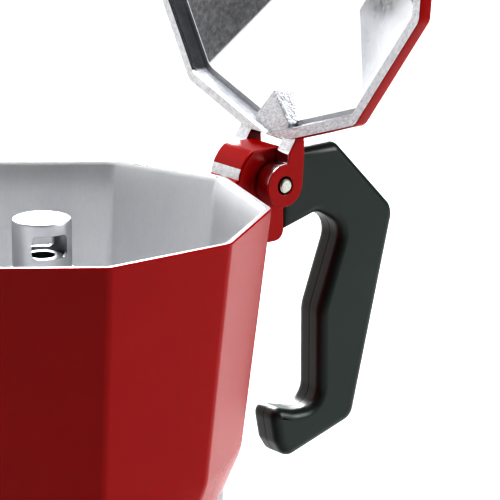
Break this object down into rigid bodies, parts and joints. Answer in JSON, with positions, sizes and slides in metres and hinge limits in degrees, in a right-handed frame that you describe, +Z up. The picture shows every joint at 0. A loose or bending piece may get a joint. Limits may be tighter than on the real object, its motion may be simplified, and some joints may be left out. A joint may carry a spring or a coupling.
{
  "type": "moka pot",
  "caption": "Ten-sided stove-top coffee pot: tapered boiler, screwed-on upper chamber with spout, hinged domed lid and side handle.",
  "frame": {"origin": "centre of the flat base, on the surface the pot stands on", "axes": "+Z up, +X towards the handle, -X towards the spout, +Y towards the safety valve"},
  "size_m": [0.1966, 0.1247, 0.3166],
  "materials": {
    "red_paint": "gloss baked enamel over cast aluminium",
    "cast_aluminium": "satin cast and turned",
    "black_resin": "compression-moulded phenolic, semi-gloss",
    "brass": "turned",
    "steel": "bright zinc or stainless",
    "white_rubber": "matte moulded"
  },
  "bodies": {
    "boiler_group": {"boiler": "cast_aluminium", "valve_body": "brass", "valve_washer": "white_rubber", "valve_retainer": "brass"},
    "valve_piston": {"valve_stem": "steel", "valve_seal": "white_rubber", "valve_spring": "steel"},
    "funnel_group": {"funnel": "cast_aluminium", "funnel_screen": "steel"},
    "gasket_ring": {"gasket": "white_rubber"},
    "filter_disc": {"filter_plate": "steel"},
    "collector_group": {"collector": "red_paint", "column_cap": "cast_aluminium", "hinge_pin": "steel", "handle": "black_resin", "handle_screw": "steel"},
    "lid_group": {"lid": "red_paint", "knob": "black_resin", "knob_screw": "steel", "knob_washer": "steel"}
  },
  "joints": [
    {"name": "valve_slide", "type": "slide", "parent": "boiler_group", "child": "valve_piston", "axis": [0, 1, 0], "range_m": [0, 0.0015], "stiffness_N_per_m": 800, "springref_m": -0.002},
    {"name": "top_lift_off", "type": "slide", "parent": "boiler_group", "child": "gasket_ring", "axis": [0, 0, 1], "range_m": [0, 0.2]},
    {"name": "thread_rise", "type": "slide", "parent": "gasket_ring", "child": "filter_disc", "axis": [0, 0, 1], "range_m": [0, 0.0076]},
    {"name": "top_turn", "type": "hinge", "parent": "filter_disc", "child": "collector_group", "pos_m": [0, 0, 0.1], "axis": [0, 0, 1], "range_deg": [0, 900]},
    {"name": "funnel_lift", "type": "slide", "parent": "boiler_group", "child": "funnel_group", "axis": [0, 0, 1], "range_m": [0, 0.112]},
    {"name": "lid_hinge", "type": "hinge", "parent": "collector_group", "child": "lid_group", "pos_m": [0.071, 0, 0.1759], "axis": [0, -1, 0], "range_deg": [0, 94.4]}
  ],
  "couplings": [
    {"joint": "thread_rise", "follows": "top_turn", "m_per_rad": 0.00047746},
    {"joint": "funnel_lift", "follows": "top_lift_off", "ratio": 0.55}
  ]
}
